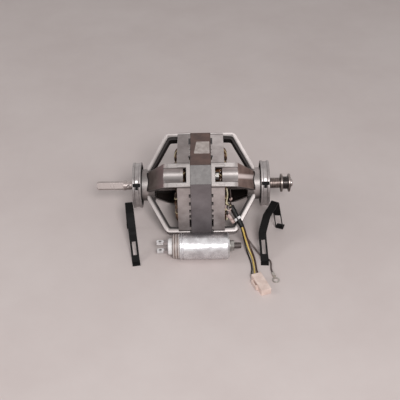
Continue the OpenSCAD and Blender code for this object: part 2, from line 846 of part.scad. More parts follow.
module place_leads() {
    translate([motor_x + face - 14, motor_y, 0]) children();
}

sleeve_dir = unit(sleeve_to - sleeve_from);

module toward(from, dir) {
    translate(from) rotate([0, acos(dir[2]), atan2(dir[1], dir[0])]) children();
}

module lead_sleeve() {
    color("black") place_leads() toward(sleeve_from, sleeve_dir)
        cylinder(h = norm(sleeve_to - sleeve_from), d = sleeve_d);
}

module sleeve_clip() {
    color("white") place_leads() toward(sleeve_to - sleeve_dir * 5, sleeve_dir) difference() {
        union() {
            cylinder(h = 3.5, d = sleeve_d + 2.4);
            translate([-sleeve_d / 2 - 3, -2, 0]) cube([3, 4, 3.5]);
        }
        translate([0, 0, -1]) cylinder(h = 6, d = sleeve_d + 2 * fit);
    }
}

mouth = axis_h - 18;

black_route = [[49, -64.3, mouth - 0.5], [52, -68.2, mouth - 3.9], [54, -70.4, 33],
    [55.6, -71.4, 25], [57.4, -72, 17], [59.2, -73.6, 9.6], [60.6, -78, 4.6], [62.2, -84.4, 2],
    [63.9, -92, 1.2], [65.2, -100, 1.2], [65.9, -108, 1.2], [65.9, -116, 1.6], [65, -124, 3],
    [65.5, -131.4, 3.8], [67.6, -137, 3.8]];
yellow_route = [[49.9, -65.5, mouth + 1.7], [53.1, -69.8, mouth - 1.8], [55.8, -72.7, 33.6],
    [57.8, -73.7, 25], [59.8, -74.3, 17.2], [61.9, -75.8, 9.8], [64.1, -79.6, 4.7],
    [66.1, -84.8, 2.1], [67.6, -92, 1.2], [68.4, -100, 1.2], [68.9, -108, 1.2], [69, -116, 1.6],
    [68.9, -123.6, 3], [69.6, -130, 3.8], [71.6, -135.6, 3.8]];
brown_route = [[52, -63.9, mouth + 1.7], [55.2, -68, mouth - 1.8], [58, -70.8, 33.6],
    [60.2, -72, 25], [62.3, -72.6, 17.4], [64.6, -74.2, 9.8], [67, -78.4, 4.8], [69, -84.4, 2.2],
    [70.4, -92, 1.2], [71.2, -100, 1.2], [71.7, -108, 1.2], [72, -116, 1.6], [72.5, -122.8, 3],
    [73.5, -128.6, 3.8], [75.5, -134.2, 3.8]];
earth_route = [[51.1, -62.7, mouth - 0.5], [53.8, -66.2, mouth - 3.9], [56.4, -68, 33],
    [58.8, -69, 25], [61.8, -69.4, 17.6], [66, -71.2, 11.6], [71.4, -76, 6.4], [76.4, -83, 2.8],
    [80.4, -88.6, 1.3], [85.6, -92.2, 1.2], [90.4, -96.4, 1.2], [92, -102.6, 1.2],
    [91.6, -110, 1.2], [91.6, -116.6, 1.4], [92.5, -122.6, 1.8]];

module lead(route, colour) {
    color(colour) place_leads() swept_tube(route, lead_d / 2, 8, [for (p = route) [0.9, 0.3, 0.35]]);
}

module lead_black() { lead(black_route, "#181412"); }
module lead_yellow() { lead(yellow_route, "#d8b44c"); }
module lead_brown() { lead(brown_route, "#3a2218"); }
module lead_earth() { lead(earth_route, "#4a3c38"); }

plug_at = [69.5, -130, 0];
plug_yaw = -70;

module place_plug() {
    place_leads() translate(plug_at) rotate([0, 0, plug_yaw]) children();
}

module connector_housing() {
    color("#ead8cc") place_plug() difference() {
        union() {
            translate([1.5, -plug_w / 2, 0]) cube([plug_len - 1.5, plug_w, plug_h]);
            translate([8, -plug_w / 2 - 3, 1]) cube([16, 3.1, 5]);
        }
        for (i = [-1 : 1]) translate([0, i * plug_w / 3.2 - 1.9, 1.5]) cube([plug_len - 8, 3.8,
            plug_h - 3]);
        translate([10, -plug_w / 2 - 1.4, 0]) cube([10, 1.5, 8]);
    }
}

module connector_contacts() {
    color("silver") place_plug() for (i = [-1 : 1])
        translate([6, i * plug_w / 3.2 - 1.8, 2.2]) cube([plug_len - 15, 3.6, 3.2]);
}

module ring_terminal() {
    color("lightgray") place_leads() translate([92.5, -122.6, 0.4]) rotate([0, 0, -76]) difference() {
        union() {
            translate([0.6, -1.8, 0]) cube([7, 3.6, 2.8]);
            translate([6, -1.8, 0]) cube([5, 3.6, 0.9]);
            translate([14, 0, 0]) cylinder(h = 0.9, d = 10);
        }
        translate([14, 0, -1]) cylinder(h = 4, d = 6.4);
    }
}

stator_core();
slot_liners();
slot_conductors();
slot_wedges();
coil_heart_fan();
coil_heart_pulley();
end_winding_fan();
end_winding_pulley();
end_shield_fan();
end_shield_pulley();
through_bolts();
bolt_washers();
ring_band_fan();
ring_band_pulley();
ring_rubber_fan();
ring_rubber_pulley();
bearing_bush_fan();
bearing_bush_pulley();
felt_ring_fan();
felt_ring_pulley();
bearing_cap_fan();
bearing_cap_pulley();
shaft();
rotor_core();
rotor_cage_fan();
rotor_cage_pulley();
thrust_washer_fan();
thrust_washer_pulley();
shaft_collar();
spacer_bush();
pulley();
circlip();
capacitor_can();
capacitor_lid();
capacitor_cap();
capacitor_terminals();
stud_nut();
stud_washer();
strap_fan_side();
strap_pulley_side();
lead_sleeve();
sleeve_clip();
lead_black();
lead_yellow();
lead_brown();
lead_earth();
connector_housing();
connector_contacts();
ring_terminal();
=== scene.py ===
from math import cos, pi, radians, sin

import bmesh
import bpy
from mathutils import Matrix, Vector


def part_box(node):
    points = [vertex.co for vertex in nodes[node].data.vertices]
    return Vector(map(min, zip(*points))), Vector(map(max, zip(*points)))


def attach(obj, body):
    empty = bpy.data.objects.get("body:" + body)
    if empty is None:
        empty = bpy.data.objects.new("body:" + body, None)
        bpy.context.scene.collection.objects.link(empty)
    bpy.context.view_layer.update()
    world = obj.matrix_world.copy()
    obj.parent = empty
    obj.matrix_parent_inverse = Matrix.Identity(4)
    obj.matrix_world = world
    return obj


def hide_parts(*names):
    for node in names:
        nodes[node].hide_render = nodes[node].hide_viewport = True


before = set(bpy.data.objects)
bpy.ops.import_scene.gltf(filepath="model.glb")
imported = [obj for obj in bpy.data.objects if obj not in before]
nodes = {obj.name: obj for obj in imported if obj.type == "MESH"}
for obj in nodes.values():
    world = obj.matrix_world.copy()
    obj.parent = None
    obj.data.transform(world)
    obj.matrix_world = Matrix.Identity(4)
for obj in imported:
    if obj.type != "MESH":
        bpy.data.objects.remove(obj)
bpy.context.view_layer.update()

# Camera
# A long lens stands in front of the motor, about 36 degrees up, a metre and a bit away.
# It leans by a little over a degree, as the photographer held it.

mm = 0.001
stack_low, stack_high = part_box("stator_core")
motor_middle = (stack_low + stack_high) / 2
view_side = radians(0.561)
view_height = radians(36.084)
view_lean = radians(-1.292)
view_distance = 1136.04 * mm
view_target = motor_middle + Vector((-2.096, 0, -27.565)) * mm

toward_camera = Vector((sin(view_side) * cos(view_height), -cos(view_side) * cos(view_height),
                        sin(view_height)))
level_right = Vector((cos(view_side), sin(view_side), 0))
level_up = toward_camera.cross(level_right)
lens_right = level_right * cos(view_lean) + level_up * sin(view_lean)
lens_up = level_up * cos(view_lean) - level_right * sin(view_lean)

camera_data = bpy.data.cameras.new("photo_camera")
camera_data.lens = 72
camera_data.sensor_width = 36
camera = bpy.data.objects.new("photo_camera", camera_data)
camera.matrix_world = Matrix.Translation(view_target + toward_camera * view_distance) @ Matrix(
    (lens_right, lens_up, toward_camera)).transposed().to_4x4()
bpy.context.scene.collection.objects.link(camera)
bpy.context.scene.camera = camera
bpy.context.scene.view_settings.view_transform = "Standard"

# Stator stack
# Varnished electrical steel sheets, stamped square with cut corners and riveted into a block.
# The bolts through the end shields clamp it; its edges show as fine lines round the motor.


def new_group(name, **inputs):
    """A shader group. Each input is a colour, a vector or a number, as its value is."""
    group = bpy.data.node_groups.new(name, "ShaderNodeTree")
    for label, value in inputs.items():
        kind = {4: "Color", 3: "Vector"}[len(value)] if isinstance(value, tuple) else "Float"
        socket = group.interface.new_socket(label.replace("_", " "), in_out="INPUT",
                                            socket_type="NodeSocket" + kind)
        socket.default_value = value
    return group, group.nodes.new("NodeGroupInput").outputs


def close_group(group, **outputs):
    """Name what the group puts out."""
    for label, source in outputs.items():
        kind = {"RGBA": "Color", "VECTOR": "Vector", "VALUE": "Float"}[source.type]
        group.interface.new_socket(label.replace("_", " "), in_out="OUTPUT",
                                   socket_type="NodeSocket" + kind)
    group_out = group.nodes.new("NodeGroupOutput")
    for label, source in outputs.items():
        group.links.new(source, group_out.inputs[label.replace("_", " ")])


def feed(tree, socket, value):
    """Link another node's output, or write a plain value."""
    if isinstance(value, bpy.types.NodeSocket):
        tree.links.new(value, socket)
    else:
        socket.default_value = value


def add_node(tree, kind, **settings):
    node = tree.nodes.new(kind)
    for key, value in settings.items():
        setattr(node, key, value)
    return node


def add_math(tree, operation, *values, clamp=False):
    node = add_node(tree, "ShaderNodeMath", operation=operation, use_clamp=clamp)
    for socket, value in zip(node.inputs, values):
        feed(tree, socket, value)
    return node.outputs[0]


def add_vector(tree, operation, *values):
    node = add_node(tree, "ShaderNodeVectorMath", operation=operation)
    for socket, value in zip(node.inputs, values):
        feed(tree, socket, value)
    return node.outputs["Value" if operation in ("LENGTH", "DISTANCE", "DOT_PRODUCT") else "Vector"]


def times(tree, first, *others):
    """All the values multiplied."""
    for other in others:
        first = add_math(tree, "MULTIPLY", first, other)
    return first


def below(tree, value, limit):
    return add_math(tree, "LESS_THAN", value, limit)


def add_mix(tree, factor, first, second):
    node = add_node(tree, "ShaderNodeMix", data_type="RGBA")
    for place, value in ((0, factor), (6, first), (7, second)):
        feed(tree, node.inputs[place], value)
    return node.outputs[2]


def add_ramp(tree, value, low, high):
    node = add_node(tree, "ShaderNodeMapRange")
    for label, source in (("Value", value), ("From Min", low), ("From Max", high)):
        feed(tree, node.inputs[label], source)
    return node.outputs[0]


def coordinates(tree, kind="Object"):
    return add_node(tree, "ShaderNodeTexCoord").outputs[kind]


def offset_from(tree, point, keep=None):
    """From a point to the place on the surface, along the axes that are kept."""
    offset = add_vector(tree, "SUBTRACT", coordinates(tree), point)
    return add_vector(tree, "MULTIPLY", offset, keep) if keep else offset


def split(tree, vector):
    node = add_node(tree, "ShaderNodeSeparateXYZ")
    tree.links.new(vector, node.inputs[0])
    return node.outputs


def add_noise(tree, scale, detail, roughness=0.5):
    noise = add_node(tree, "ShaderNodeTexNoise")
    feed(tree, noise.inputs["Vector"], coordinates(tree))
    for label, value in (("Scale", scale), ("Detail", detail), ("Roughness", roughness)):
        feed(tree, noise.inputs[label], value)
    return noise.outputs["Fac"]


def srgb(red, green, blue):
    def linear(value):
        value /= 255
        return value / 12.92 if value <= 0.04045 else ((value + 0.055) / 1.055) ** 2.4
    return (linear(red), linear(green), linear(blue), 1)


# Shared effect: large soft mottling with a fine grain on top
patch_range = 0.35, 0.65
mottle, given = new_group("mottle", Light=(0.6, 0.6, 0.6, 1), Dark=(0.3, 0.3, 0.3, 1),
                          Patch_Scale=40, Grain_Scale=900, Grain=0.3)
grain = add_noise(mottle, given["Grain Scale"], detail=3)
grain_part = times(mottle, add_math(mottle, "SUBTRACT", grain, 0.5), given["Grain"])
patch_noise = add_noise(mottle, given["Patch Scale"], detail=5, roughness=0.6)
patches = add_ramp(mottle, patch_noise, *patch_range)
mottle_mask = add_math(mottle, "ADD", patches, grain_part, clamp=True)
mottled = add_mix(mottle, mottle_mask, given["Light"], given["Dark"])
close_group(mottle, Colour=mottled, Mask=mottle_mask, Height=grain)

# Shared effect: a soft mask on faces that look along one axis
facing, given = new_group("facing", Axis=(0, 0, 1), From=0.5, To=0.9)
along_axis = add_vector(facing, "DOT_PRODUCT", coordinates(facing, "Normal"), given["Axis"])
close_group(facing, Mask=add_ramp(facing, along_axis, given["From"], given["To"]))

# Shared effect: a mask on faces that look toward the shaft, where shade is painted, and the
# distance from the shaft. Limits below zero give the faces that look away from the shaft.
inward, given = new_group("inward", From=0.1, To=0.5)
outward = offset_from(inward, motor_middle, (0, 1, 1))
spoke = add_vector(inward, "NORMALIZE", outward)
turn = add_vector(inward, "DOT_PRODUCT", coordinates(inward, "Normal"), spoke)
close_group(inward, Mask=add_ramp(inward, times(inward, turn, -1), given["From"], given["To"]),
            Radius=add_vector(inward, "LENGTH", outward))

# Shared effect: a mask on the walls inside an arm's rails. Off Middle is the distance from the arm's
# middle plane, Lean the same with a sign, plus upward, and Depth how far a place lies under the arm's
# outer face, on its flat and on its slope.
arm_top = 70.6 * mm
bend_at, foot_at = Vector((48, 69.4)) * mm, Vector((74.3, 22)) * mm
slope_line = (foot_at - bend_at).normalized()
wall_turn = 1.1, 1.35

arm_walls, given = new_group("arm_walls", Half_Width=12 * mm)
place = split(arm_walls, offset_from(arm_walls, motor_middle))
normal = split(arm_walls, coordinates(arm_walls, "Normal"))
folded, folded_normal = [], []
for part in ("Y", "Z"):
    sign = add_math(arm_walls, "SIGN", place[part])
    folded.append(times(arm_walls, place[part], sign))
    folded_normal.append(times(arm_walls, normal[part], sign))
lean = add_math(arm_walls, "DIVIDE", add_math(arm_walls, "SUBTRACT", folded[1], folded[0]), 2 ** 0.5)
off_middle = add_math(arm_walls, "ABSOLUTE", lean)
arm_reach = add_math(arm_walls, "DIVIDE", add_math(arm_walls, "ADD", *folded), 2 ** 0.5)
along_shaft = add_math(arm_walls, "ABSOLUTE", place["X"])
past_bend = times(arm_walls, add_math(arm_walls, "SUBTRACT", bend_at.x, along_shaft), -slope_line.y)
under_bend = times(arm_walls, add_math(arm_walls, "SUBTRACT", bend_at.y, arm_reach), slope_line.x)
under_slope = add_math(arm_walls, "ADD", past_bend, under_bend)
under_flat = add_math(arm_walls, "SUBTRACT", arm_top, arm_reach)
sideways = add_math(arm_walls, "ABSOLUTE", add_math(arm_walls, "SUBTRACT", *folded_normal))
between_rails = below(arm_walls, off_middle, given["Half Width"])
wall_mask = times(arm_walls, add_ramp(arm_walls, sideways, *wall_turn), between_rails)
close_group(arm_walls, Mask=wall_mask, Off_Middle=off_middle, Lean=lean,
            Depth=add_math(arm_walls, "MINIMUM", under_slope, under_flat))

# Shared effect: edges rounded in the shading, with a mask along them that the finishes use to paint
# the edges lighter or darker
edge_gain = 5.0
soft_edges, given = new_group("soft_edges", Radius=0.6 * mm)
rounding = add_node(soft_edges, "ShaderNodeBevel", samples=6)
feed(soft_edges, rounding.inputs["Radius"], given["Radius"])
rounded = rounding.outputs["Normal"]
flat = add_node(soft_edges, "ShaderNodeNewGeometry").outputs["Normal"]
bent = add_math(soft_edges, "SUBTRACT", 1.0, add_vector(soft_edges, "DOT_PRODUCT", rounded, flat))
close_group(soft_edges, Normal=rounded, Mask=add_math(soft_edges, "MULTIPLY", bent, edge_gain, clamp=True))


def new_material(name, **sockets):
    material = bpy.data.materials.new(name)
    material.use_nodes = True
    shader = material.node_tree.nodes["Principled BSDF"]
    for label, value in sockets.items():
        shader.inputs[label.replace("_", " ")].default_value = value
    return material, material.node_tree, shader


def add_group(tree, group, **values):
    node = add_node(tree, "ShaderNodeGroup", node_tree=group)
    for label, value in values.items():
        node.inputs[label.replace("_", " ")].default_value = value
    return node.outputs


def add_skin(tree, light, dark, patch, fine, grain=0.3):
    """Two mottled tones, in 0 to 255. patch and fine are how many spots go into a metre."""
    return add_group(tree, mottle, Light=srgb(*light), Dark=srgb(*dark), Patch_Scale=patch,
                     Grain_Scale=fine, Grain=grain)


def facing_mask(tree, axis, start, full):
    return add_group(tree, facing, Axis=axis, From=start, To=full)["Mask"]


def paint(tree, base, tone, *masks):
    """Lay a tone, in 0 to 255, over the base, as strongly as the masks and shares multiplied say."""
    return add_mix(tree, times(tree, *masks), base, srgb(*tone))


def add_bump(tree, shader, height, depth, normal=None):
    bump = add_node(tree, "ShaderNodeBump")
    bump.inputs["Distance"].default_value = depth
    tree.links.new(height, bump.inputs["Height"])
    if normal is not None:
        tree.links.new(normal, bump.inputs["Normal"])
    tree.links.new(bump.outputs["Normal"], shader.inputs["Normal"])
    return bump.outputs["Normal"]


def finish_nodes(material, *names):
    for name in names:
        piece = nodes[name]
        piece.data.materials.clear()
        piece.data.materials.append(material)


def straight_lines(tree, pitch, axis="X", blur=0.5):
    wave = add_node(tree, "ShaderNodeTexWave", wave_type="BANDS", bands_direction=axis, wave_profile="SIN")
    feed(tree, wave.inputs["Vector"], coordinates(tree))
    for label, value in (("Scale", pi / (10 * pitch)), ("Distortion", blur), ("Detail", 2)):
        feed(tree, wave.inputs[label], value)
    return wave.outputs["Fac"]


sheet_t = 0.5 * mm
front_slant = (0, -0.7071, 0.7071)
line_dirt = (0.02, 0.018, 0.018, 1)
rim_darkening_gain = 3.5

stack_steel, tree, shader = new_material("stack_steel", Metallic=0.3, Roughness=0.52)
skin = add_skin(tree, (136, 128, 130), (114, 106, 108), patch=35, fine=1500)
varnish = add_skin(tree, (100, 74, 66), (70, 50, 45), patch=60, fine=700)
chamfer_skin = add_skin(tree, (134, 130, 129), (118, 114, 113), patch=200, fine=900)
base = add_mix(tree, facing_mask(tree, (0, 0, 1), 0.8, 0.95), skin["Colour"], varnish["Colour"])
base = add_mix(tree, facing_mask(tree, front_slant, 0.9, 0.97), base, chamfer_skin["Colour"])
# Painted shade darkens the faces that look toward the shaft
base = paint(tree, base, (48, 40, 38), add_group(tree, inward)["Mask"])
sheets = straight_lines(tree, sheet_t)
base = add_mix(tree, times(tree, sheets, 0.25), base, line_dirt)
edges = add_group(tree, soft_edges, Radius=1.1 * mm)
# The stack's rims are painted darker
rim_darkening = add_math(tree, "MULTIPLY", edges["Mask"], rim_darkening_gain, clamp=True)
feed(tree, shader.inputs["Base Color"], paint(tree, base, (52, 46, 46), rim_darkening))
add_bump(tree, shader, sheets, depth=0.05 * mm, normal=edges["Normal"])
finish_nodes(stack_steel, "stator_core")

# Slot insulation and conductors
# Folded paper liners and wedges hold the enamelled wires in the slots of the stack.
# They show only from the ends, between the windings and the rotor.


def plain_finish(name, light, dark, patch, fine, grain=0.3, relief=0.04 * mm, round_edge=None, **sockets):
    """A finish with no more to it than two mottled tones, their relief and, on some, softer edges."""
    material, tree, shader = new_material(name, **sockets)
    skin = add_skin(tree, light, dark, patch, fine, grain)
    feed(tree, shader.inputs["Base Color"], skin["Colour"])
    edge_normal = add_group(tree, soft_edges, Radius=round_edge)["Normal"] if round_edge else None
    add_bump(tree, shader, skin["Height"], relief, edge_normal)
    return material


paper = plain_finish("slot_paper", (206, 190, 150), (176, 156, 112), patch=120, fine=2500,
                     relief=0.03 * mm, Roughness=0.75)
finish_nodes(paper, "slot_liners", "slot_wedges")

copper = plain_finish("enamelled_copper", (112, 66, 40), (44, 24, 17), patch=180, fine=1400,
                      Metallic=0.55, Roughness=0.36, Coat_Weight=0.4)
finish_nodes(copper, "slot_conductors", "coil_heart_fan", "coil_heart_pulley")

# End windings
# One bundle of enamelled wires goes round in 24 loops at each end of the stack, soaked in dark
# varnish, with white cord laced round it to hold the bundles down.

loops = 24
points_in_loop = 14
strands = 11
strand_twists = 9
strand_d = 1.75 * mm
packed_d = 3.6 * mm
clear_round = 0.3 * mm
winding_span = radians(352)
lacings = 12
lacing_points = 28
lacing_lean = radians(9)
lacing_d = 1.3 * mm
lacing_bulge = 0.1 * mm
wire_sides = 6


def tube_mesh(name, paths, width, sides, closed=False):
    """Round tubes along lists of points, in one mesh."""
    verts, faces = [], []
    for path in paths:
        start = len(verts)
        count = len(path)
        side = None
        for i, point in enumerate(path):
            ahead = path[(i + 1) % count] if closed or i < count - 1 else point
            behind = path[i - 1] if closed or i > 0 else point
            along = (ahead - behind).normalized()
            side = side or along.orthogonal()
            side = (side - along * side.dot(along)).normalized()
            across = along.cross(side)
            reach = (width(i / (count - 1)) if callable(width) else width) / 2
            verts += [point + (side * cos(2 * pi * k / sides) + across * sin(2 * pi * k / sides)) * reach
                      for k in range(sides)]
        for i in range(count if closed else count - 1):
            here, there = start + i * sides, start + (i + 1) % count * sides
            faces += [(here + k, here + (k + 1) % sides, there + (k + 1) % sides, there + k)
                      for k in range(sides)]
        if not closed:
            last = start + (count - 1) * sides
            faces += [tuple(start + k for k in reversed(range(sides))),
                      tuple(last + k for k in range(sides))]
    mesh = bpy.data.meshes.new(name)
    mesh.from_pydata(verts, [], faces)
    mesh.polygons.foreach_set("use_smooth", [True] * len(faces))
    return mesh


def add_piece(name, data, material):
    piece = bpy.data.objects.new(name, data)
    bpy.context.scene.collection.objects.link(piece)
    piece.data.materials.append(material)
    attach(piece, "motor_frame")
    return piece


def add_tubes(name, paths, width, material, sides, closed=False):
    return add_piece(name, tube_mesh(name, paths, width, sides, closed), material)


strand_copper = plain_finish("varnished_strands", (124, 84, 54), (30, 20, 15), patch=110, fine=900, grain=0.6,
                             relief=0.06 * mm, Metallic=0.4, Roughness=0.34, Coat_Weight=0.5)

lacing_cord, tree, shader = new_material("lacing_cord", Roughness=0.8)
skin = add_skin(tree, (222, 206, 168), (158, 132, 92), patch=90, fine=1600)
feed(tree, shader.inputs["Base Color"], skin["Colour"])
add_bump(tree, shader, straight_lines(tree, pitch=0.7 * mm, axis="DIAGONAL", blur=0.2), depth=0.08 * mm)

for end, side in (("fan", -1), ("pulley", 1)):
    ring_low, ring_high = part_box("end_winding_" + end)
    ring_middle = (ring_low + ring_high) / 2
    ring_depth = (ring_high.x - ring_low.x) / 2
    ring_r = (ring_high.y - ring_low.y) / 2 - ring_depth
    heart_low, heart_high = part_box("coil_heart_" + end)
    heart_r = (heart_high.x - heart_low.x) / 2
    bundle_r = (ring_depth - heart_r - clear_round) / 2
    path_r = heart_r + clear_round + bundle_r
    centre_line = []
    for i in range(loops * points_in_loop + 1):
        share = i / (loops * points_in_loop)
        round_shaft, round_heart = winding_span * share, 2 * pi * loops * share
        reach = ring_r - path_r * cos(round_heart)
        heart = Vector((0, ring_r * cos(round_shaft), ring_r * sin(round_shaft)))
        point = Vector((side * path_r * sin(round_heart), reach * cos(round_shaft),
                        reach * sin(round_shaft)))
        centre_line.append((point, (point - heart).normalized()))
    paths = []
    for strand in range(strands):
        lay = 2 * pi * strand / strands
        path = []
        for i, (point, outward) in enumerate(centre_line):
            ahead = centre_line[min(i + 1, len(centre_line) - 1)][0]
            along = (ahead - centre_line[max(i - 1, 0)][0]).normalized()
            across = along.cross(outward).normalized()
            twist = lay + 2 * pi * strand_twists * i / len(centre_line)
            off_centre = (outward * cos(twist) + across * sin(twist)) * (bundle_r - strand_d / 2)
            path.append(ring_middle + point + off_centre)
        paths.append(path)
    winding = add_tubes("winding_strands_" + end, paths, strand_d, strand_copper, wire_sides)
    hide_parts("end_winding_" + end)
    middle_path = [ring_middle + point for point, outward in centre_line]
    add_tubes("winding_packing_" + end, [middle_path], packed_d, strand_copper, wire_sides)
    lacing_paths = []
    lacing_r = ring_depth - lacing_d / 2
    for lacing in range(lacings):
        spot = winding_span * (lacing + 0.5) / lacings
        ring = []
        for i in range(lacing_points):
            turn_angle = 2 * pi * i / lacing_points
            at = spot + lacing_lean * sin(turn_angle)
            reach = ring_r + (lacing_r + lacing_bulge) * cos(turn_angle)
            ring.append(ring_middle + Vector((side * lacing_r * sin(turn_angle), reach * cos(at),
                                              reach * sin(at))))
        lacing_paths.append(ring)
    add_tubes("winding_lacing_" + end, lacing_paths, lacing_d, lacing_cord, wire_sides,
              closed=True)

# End shields
# Aluminium castings, one at each end: a skirt over the windings, four channelled arms and a hub
# for the bearing. Their outsides carry painted light and shade: painted shade on the fan side, in the
# hollows and under the arms, and a painted highlight down the pulley side slopes; their edges are painted
# lighter.

skirt_end = 31.6 * mm
skirt_flat_r = 58.5 * mm
trough_start = 27 * mm
trough_floor_r = 55 * mm
arm_half_w = 16.03 * mm
hub_r = 21.9 * mm
down_front = (0, -0.5, -0.866)

# Two lengths each, where a tone starts and where it is full: _r from the shaft, _w from the arm's
# middle plane or the stripe's, _depth under the arm's outer face
slopes_r = 20 * mm, 24 * mm
near_bend_r = 44 * mm, 64 * mm
stripe_w = 4 * mm, 1.5 * mm
foot_line_r = 26.2 * mm, 24.6 * mm
foot_corner_r, foot_corner_w = (29.5 * mm, 27.5 * mm), (8.6 * mm, 10 * mm)
trough_w = 10.3 * mm, 9.9 * mm
beside_arm_w = 17.6 * mm, 16.6 * mm
rail_side_w, rail_side_depth = (12.1 * mm, 12.4 * mm), (3.2 * mm, 4.6 * mm)
rail_side_end = 12 * mm


def above(tree, value, limit):
    return add_math(tree, "GREATER_THAN", value, limit)


cast_aluminium, tree, shader = new_material("cast_aluminium")
skin = add_skin(tree, (190, 180, 178), (150, 139, 137), patch=45, fine=1100, grain=0.5)
fan_slope_shade = add_skin(tree, (104, 92, 87), (76, 66, 62), patch=60, fine=1100, grain=0.5)
pulley_slope_reflection = add_skin(tree, (150, 128, 120), (112, 90, 84), patch=60, fine=1100, grain=0.5)
inward_shade = add_group(tree, inward)
from_shaft = inward_shade["Radius"]
walls = add_group(tree, arm_walls, Half_Width=12.2 * mm)
off_middle, depth = walls["Off Middle"], walls["Depth"]
edges = add_group(tree, soft_edges, Radius=0.8 * mm)
place = split(tree, offset_from(tree, motor_middle))
along_shaft = add_math(tree, "ABSOLUTE", place["X"])
past_hub = add_ramp(tree, from_shaft, *slopes_r)
on_left = times(tree, facing_mask(tree, (-1, 0, 0), 0.6, 0.8), past_hub)
on_right = times(tree, facing_mask(tree, (1, 0, 0), 0.6, 0.8), past_hub)
# The slopes that face along the shaft get painted shade on the fan side and a painted brownish reflection on
# the pulley side
base = add_mix(tree, on_left, skin["Colour"], fan_slope_shade["Colour"])
base = add_mix(tree, on_right, base, pulley_slope_reflection["Colour"])

# The fan side gets painted shade, most of all on top, and its slopes' painted shade turns paler and pinker
# toward the arm's bend
upward = facing_mask(tree, (0, 0, 1), 0.7, 0.8)
fan_side_shade = add_math(tree, "ADD", times(tree, upward, 0.34), 0.22)
base = paint(tree, base, (84, 74, 71), below(tree, place["X"], 0), fan_side_shade)
base = paint(tree, base, (118, 96, 97), on_left, add_ramp(tree, from_shaft, *near_bend_r), 0.8)

# A painted highlight runs as a stripe down each pulley side slope, a little aslant to the arm's middle plane
stripe_off, stripe_slant = 7.7 * mm, 0.142
stripe_place = add_math(tree, "SUBTRACT", stripe_off, times(tree, from_shaft, stripe_slant))
off_stripe = add_math(tree, "ABSOLUTE", add_math(tree, "SUBTRACT", walls["Lean"], stripe_place))
base = paint(tree, base, (252, 235, 231), on_right, add_ramp(tree, off_stripe, *stripe_w))

# Painted shade lies along the foot of each slope, round the hub and in its corners
foot_line = times(tree, add_ramp(tree, from_shaft, *foot_line_r), above(tree, from_shaft, hub_r))
foot_corner = times(tree, add_ramp(tree, off_middle, *foot_corner_w),
                    add_ramp(tree, from_shaft, *foot_corner_r))
base = paint(tree, base, (26, 21, 20), add_math(tree, "MAXIMUM", foot_line, foot_corner),
             add_math(tree, "MAXIMUM", on_left, on_right))

# Faces toward the front get painted shade, greyer on the outer ones, and painted light, a little paler
# on the arms' sides; those that look down get painted shade, and the edges are painted lighter
toward_front = facing_mask(tree, front_slant, 0.85, 0.97)
outer_faces = add_group(tree, inward, From=-0.5, To=-0.78)["Mask"]
front_faces = times(tree, toward_front, outer_faces)
lit_front_sides = add_math(tree, "SUBTRACT", toward_front, front_faces)
base = paint(tree, base, (138, 133, 131), front_faces, 0.7)
base = paint(tree, base, (220, 214, 212), lit_front_sides, 0.26)
base = paint(tree, base, (60, 50, 48), facing_mask(tree, down_front, 0.52, 0.85), 0.9)
base = paint(tree, base, (208, 204, 202), edges["Mask"], 0.5)

# Painted shade darkens each trough a little off its middle and a good deal against its walls
in_trough = times(tree, outer_faces, add_ramp(tree, off_middle, *trough_w),
                  above(tree, along_shaft, trough_start), above(tree, from_shaft, trough_floor_r))
for start, full, share, tone in ((2.8, 5.2, 0.45, (90, 86, 86)), (8.9, 9.8, 0.85, (26, 22, 22))):
    base = paint(tree, base, tone, in_trough, add_ramp(tree, off_middle, start * mm, full * mm), share)

# A painted shadow runs beside the arm on the skirt, and painted shade down the rails' outer sides past the
# skirt
on_flat = above(tree, from_shaft, skirt_flat_r)
base = paint(tree, base, (50, 44, 43), add_ramp(tree, off_middle, *beside_arm_w),
             above(tree, off_middle, arm_half_w), on_flat, below(tree, along_shaft, skirt_end), 0.85)
base = paint(tree, base, (84, 78, 76), add_ramp(tree, off_middle, *rail_side_w),
             add_ramp(tree, depth, *rail_side_depth), above(tree, along_shaft, skirt_end),
             below(tree, depth, rail_side_end), 0.75)

# Painted shade darkens what looks toward the shaft and the rails' inner walls, and takes away their shine
base = paint(tree, base, (30, 25, 23), inward_shade["Mask"])
base = paint(tree, base, (30, 25, 24), walls["Mask"], 0.9)
shade_mask = add_math(tree, "MAXIMUM", inward_shade["Mask"], walls["Mask"])
unshaded = add_math(tree, "SUBTRACT", 1.0, shade_mask)
feed(tree, shader.inputs["Metallic"], times(tree, unshaded, 0.45))
feed(tree, shader.inputs["Specular IOR Level"], add_math(tree, "SUBTRACT", 0.5, times(tree, shade_mask, 0.4)))
feed(tree, shader.inputs["Roughness"], add_math(tree, "ADD", 0.42, times(tree, shade_mask, 0.3)))

# Painted shadow marks the gaps in the skirt's edge. Each is given by its middle along the flat and half
# its length, in mm. Its mark starts a little past its edges and is full a little inside them.
front_notches = ((22.5, 2.6), (9.5, 2.6), (-2.6, 2.3), (-11.5, 2.3), (-23, 6.4), (-36.5, 2))
top_notches = ((17.5, 8), (-21, 2.4))
notch_depth = 2.3 * mm
mark_past, mark_deeper, mark_inside = 0.5, 0.4, 0.3


def notch_marks(tree, along, places):
    marks = 0.0
    for notch_middle, notch_half in places:
        off_notch = add_math(tree, "ABSOLUTE", add_math(tree, "SUBTRACT", along, notch_middle * mm))
        mark = add_ramp(tree, off_notch, (notch_half + mark_past) * mm, (notch_half - mark_inside) * mm)
        marks = add_math(tree, "MAXIMUM", mark, marks)
    return marks


